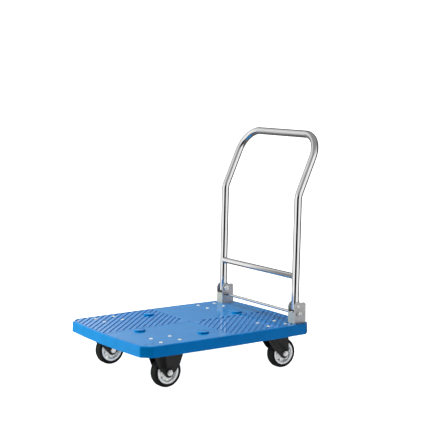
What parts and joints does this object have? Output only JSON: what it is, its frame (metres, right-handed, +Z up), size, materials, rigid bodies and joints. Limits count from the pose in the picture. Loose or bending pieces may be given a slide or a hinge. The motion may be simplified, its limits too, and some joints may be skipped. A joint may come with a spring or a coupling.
{
  "type": "folding platform cart",
  "caption": "Platform cart with a moulded plastic deck, two fixed and two swivelling casters, and a bent tubular push handle that folds down when a spring-loaded cross rod is pushed.",
  "frame": {"origin": "middle of the bounding box in plan, on the floor under the wheels", "axes": "+X from the front edge of the deck towards the handle, +Y towards the right side as the user stands behind the handle and faces the deck, +Z up"},
  "size_m": [0.7344, 0.5138, 0.788],
  "materials": {
    "blue_plastic": "glossy moulded polypropylene",
    "polished_stainless": "polished stainless tube",
    "satin_stainless": "satin pressed sheet",
    "bright_zinc": "bright zinc plate",
    "spring_steel": "drawn wire",
    "bearing_steel": "ground steel",
    "black_steel": "satin black coat",
    "black_rubber": "moulded tread rubber",
    "white_plastic": "moulded nylon",
    "black_plastic": "moulded cap"
  },
  "bodies": {
    "chassis": {"deck": "blue_plastic", "left_bracket": "satin_stainless", "right_bracket": "satin_stainless", "bracket_backing_plates": "bright_zinc", "bracket_bolts": "bright_zinc", "bracket_nuts": "bright_zinc", "pivot_bolts": "bright_zinc", "pivot_nuts": "bright_zinc", "pivot_washers": "bright_zinc", "caster_bolts": "bright_zinc", "caster_washers": "bright_zinc", "caster_nuts": "bright_zinc", "front_left_fork": "black_steel", "front_right_fork": "black_steel", "front_axle_bolts": "bright_zinc", "front_axle_nuts": "bright_zinc", "front_axle_sleeves": "bright_zinc", "rear_swivel_plates": "black_steel", "rear_kingpins": "black_steel", "rod_springs": "spring_steel"},
    "handle": {"handle_tube": "polished_stainless", "cross_bar": "polished_stainless", "latch_plates": "satin_stainless", "pivot_sleeves": "bright_zinc", "post_plugs": "black_plastic"},
    "rod": {"release_rod": "polished_stainless", "rod_dome_nuts": "bright_zinc", "rod_washers": "bright_zinc"},
    "rear_left_swivel": {"rear_left_fork": "black_steel", "rear_left_race_balls": "bearing_steel", "rear_left_dust_cover": "black_steel", "rear_left_axle_bolt": "bright_zinc", "rear_left_axle_nut": "bright_zinc", "rear_left_axle_sleeve": "bright_zinc"},
    "rear_right_swivel": {"rear_right_fork": "black_steel", "rear_right_race_balls": "bearing_steel", "rear_right_dust_cover": "black_steel", "rear_right_axle_bolt": "bright_zinc", "rear_right_axle_nut": "bright_zinc", "rear_right_axle_sleeve": "bright_zinc"},
    "front_left_wheel": {"front_left_tyre": "black_rubber", "front_left_core": "white_plastic", "front_left_bearings": "bearing_steel"},
    "front_right_wheel": {"front_right_tyre": "black_rubber", "front_right_core": "white_plastic", "front_right_bearings": "bearing_steel"},
    "rear_left_wheel": {"rear_left_tyre": "black_rubber", "rear_left_core": "white_plastic", "rear_left_bearings": "bearing_steel"},
    "rear_right_wheel": {"rear_right_tyre": "black_rubber", "rear_right_core": "white_plastic", "rear_right_bearings": "bearing_steel"}
  },
  "joints": [
    {"name": "handle_fold", "type": "hinge", "parent": "chassis", "child": "handle", "pos_m": [0.25184, 0, 0.208], "axis": [0, -1, 0], "range_deg": [0, 98]},
    {"name": "release_rod_slide", "type": "slide", "parent": "chassis", "child": "rod", "axis": [-1, 0, 0], "range_m": [0, 0.007], "stiffness_N_per_m": 2000, "springref_m": -0.004, "deforming": ["rod_springs"]},
    {"name": "rear_left_swivel_turn", "type": "hinge", "parent": "chassis", "child": "rear_left_swivel", "pos_m": [0.17785, -0.18, 0.115], "axis": [0, 0, 1], "continuous": true},
    {"name": "rear_right_swivel_turn", "type": "hinge", "parent": "chassis", "child": "rear_right_swivel", "pos_m": [0.17785, 0.18, 0.115], "axis": [0, 0, 1], "continuous": true},
    {"name": "front_left_wheel_spin", "type": "hinge", "parent": "chassis", "child": "front_left_wheel", "pos_m": [-0.23716, -0.18, 0.05], "axis": [0, 1, 0], "continuous": true},
    {"name": "front_right_wheel_spin", "type": "hinge", "parent": "chassis", "child": "front_right_wheel", "pos_m": [-0.23716, 0.18, 0.05], "axis": [0, 1, 0], "continuous": true},
    {"name": "rear_left_wheel_spin", "type": "hinge", "parent": "rear_left_swivel", "child": "rear_left_wheel", "pos_m": [0.21785, -0.18, 0.05], "axis": [0, 1, 0], "continuous": true},
    {"name": "rear_right_wheel_spin", "type": "hinge", "parent": "rear_right_swivel", "child": "rear_right_wheel", "pos_m": [0.21785, 0.18, 0.05], "axis": [0, 1, 0], "continuous": true}
  ]
}
